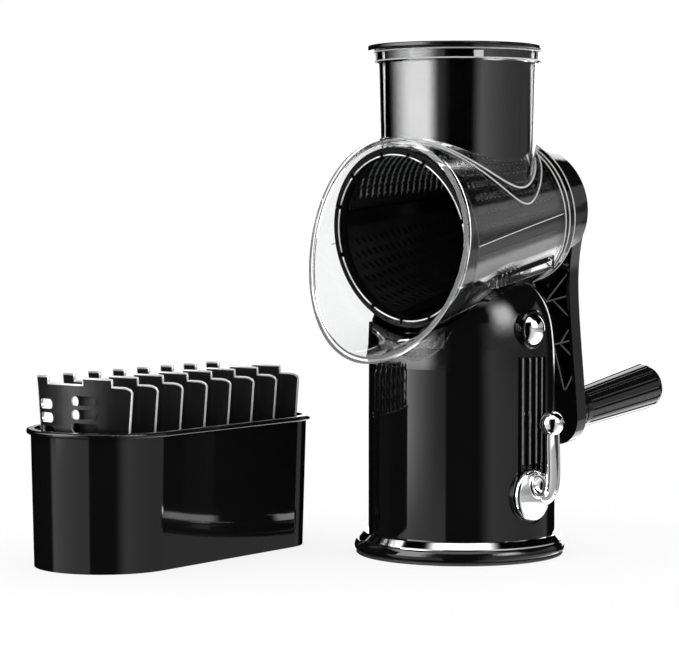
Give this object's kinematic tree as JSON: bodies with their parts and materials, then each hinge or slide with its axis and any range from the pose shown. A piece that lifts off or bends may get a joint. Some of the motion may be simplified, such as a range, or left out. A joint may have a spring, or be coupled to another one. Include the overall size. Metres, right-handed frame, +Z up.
{
  "type": "rotary drum shredder",
  "caption": "Hand-cranked rotary drum shredder on a suction pedestal with a clear hopper housing, pusher, and a storage box of curved cutting plates.",
  "frame": {"origin": "middle of the pedestal's underside, the centre of the suction cup's ring, level with the worktop", "axes": "+Z up; the drum's mouth faces -Y and dips 8.5 degrees, the crank is at +Y, the suction lever at +X, the storage box stands at -X and -Y"},
  "size_m": [0.2352, 0.3999, 0.2896],
  "materials": {
    "gloss_black": "high gloss moulded",
    "matte_black": "satin moulded",
    "chrome_trim": "mirror plated",
    "rubber_black": "soft matt",
    "steel": "machined",
    "black_steel": "satin black coat",
    "clear_plastic": "clear moulded"
  },
  "bodies": {
    "base": {"suction_cup_rim": "rubber_black", "base_flange": "gloss_black", "trim_ring": "chrome_trim", "pedestal": "gloss_black", "base_plate": "matte_black", "base_screws": "steel", "lever_bush": "matte_black", "cam_bracket": "steel", "lock_bezel": "chrome_trim"},
    "lever": {"suction_lever": "chrome_trim", "lever_ball": "chrome_trim", "lever_shaft": "steel", "lift_cam": "steel"},
    "lifter": {"pull_rod": "steel", "suction_boss": "rubber_black", "suction_membrane": "rubber_black", "return_spring": "steel"},
    "release_button": {"lock_button": "chrome_trim", "lock_stem": "matte_black"},
    "housing": {"housing": "clear_plastic", "rear_bearing": "matte_black"},
    "pusher": {"pusher_body": "gloss_black", "pusher_flange": "gloss_black"},
    "crank": {"crank_arm": "gloss_black", "hub_cap": "gloss_black", "crank_shaft": "steel", "grip_axle": "steel"},
    "grip": {"grip": "matte_black", "grip_plug": "matte_black"},
    "drum": {"drum_frame": "matte_black", "drum_plate_1": "black_steel", "drum_plate_2": "black_steel", "drum_plate_3": "black_steel", "drum_plate_4": "black_steel"},
    "box": {"blade_box": "gloss_black", "box_rack": "matte_black"},
    "stored_plate_1": {"stored_plate_1": "black_steel"},
    "stored_plate_2": {"stored_plate_2": "black_steel"},
    "stored_plate_3": {"stored_plate_3": "black_steel"},
    "stored_plate_4": {"stored_plate_4": "black_steel"},
    "stored_plate_5": {"stored_plate_5": "black_steel"},
    "stored_plate_6": {"stored_plate_6": "black_steel"},
    "stored_plate_7": {"stored_plate_7": "black_steel"},
    "stored_plate_8": {"stored_plate_8": "black_steel"}
  },
  "joints": [
    {"name": "housing_lift", "type": "slide", "parent": "base", "child": "housing", "axis": [0, 0, 1], "range_m": [0, 0.07]},
    {"name": "pusher_lift", "type": "slide", "parent": "housing", "child": "pusher", "axis": [0, 0, 1], "range_m": [0, 0.085]},
    {"name": "crank_turn", "type": "hinge", "parent": "housing", "child": "crank", "pos_m": [0, 0, 0.1883], "axis": [0, 0.989, 0.1478], "continuous": true},
    {"name": "grip_spin", "type": "hinge", "parent": "crank", "child": "grip", "pos_m": [0, 0.13745, 0.08043], "axis": [0, 0.989, 0.1478], "continuous": true},
    {"name": "drum_pull", "type": "slide", "parent": "crank", "child": "drum", "axis": [0, -0.989, -0.1478], "range_m": [0, 0.14]},
    {"name": "lever_swing", "type": "hinge", "parent": "base", "child": "lever", "pos_m": [0.03, 0, 0.037], "axis": [1, 0, 0], "range_deg": [0, 90]},
    {"name": "suction_pull", "type": "slide", "parent": "base", "child": "lifter", "axis": [0, 0, 1], "range_m": [0, 0.003], "deforming": ["return_spring", "suction_membrane"]},
    {"name": "button_press", "type": "slide", "parent": "base", "child": "release_button", "axis": [-1, 0, 0], "range_m": [0, 0.003], "stiffness_N_per_m": 400, "springref_m": -0.003},
    {"name": "box_lift", "type": "slide", "parent": "base", "child": "box", "axis": [0, 0, 1], "range_m": [0, 0.1]},
    {"name": "plate_lift_1", "type": "slide", "parent": "box", "child": "stored_plate_1", "axis": [0, 0, 1], "range_m": [0, 0.11]},
    {"name": "plate_lift_2", "type": "slide", "parent": "box", "child": "stored_plate_2", "axis": [0, 0, 1], "range_m": [0, 0.11]},
    {"name": "plate_lift_3", "type": "slide", "parent": "box", "child": "stored_plate_3", "axis": [0, 0, 1], "range_m": [0, 0.11]},
    {"name": "plate_lift_4", "type": "slide", "parent": "box", "child": "stored_plate_4", "axis": [0, 0, 1], "range_m": [0, 0.11]},
    {"name": "plate_lift_5", "type": "slide", "parent": "box", "child": "stored_plate_5", "axis": [0, 0, 1], "range_m": [0, 0.11]},
    {"name": "plate_lift_6", "type": "slide", "parent": "box", "child": "stored_plate_6", "axis": [0, 0, 1], "range_m": [0, 0.11]},
    {"name": "plate_lift_7", "type": "slide", "parent": "box", "child": "stored_plate_7", "axis": [0, 0, 1], "range_m": [0, 0.11]},
    {"name": "plate_lift_8", "type": "slide", "parent": "box", "child": "stored_plate_8", "axis": [0, 0, 1], "range_m": [0, 0.11]}
  ],
  "couplings": [
    {"joint": "lever_swing", "follows": "suction_pull", "rad_per_m": 523.59}
  ]
}
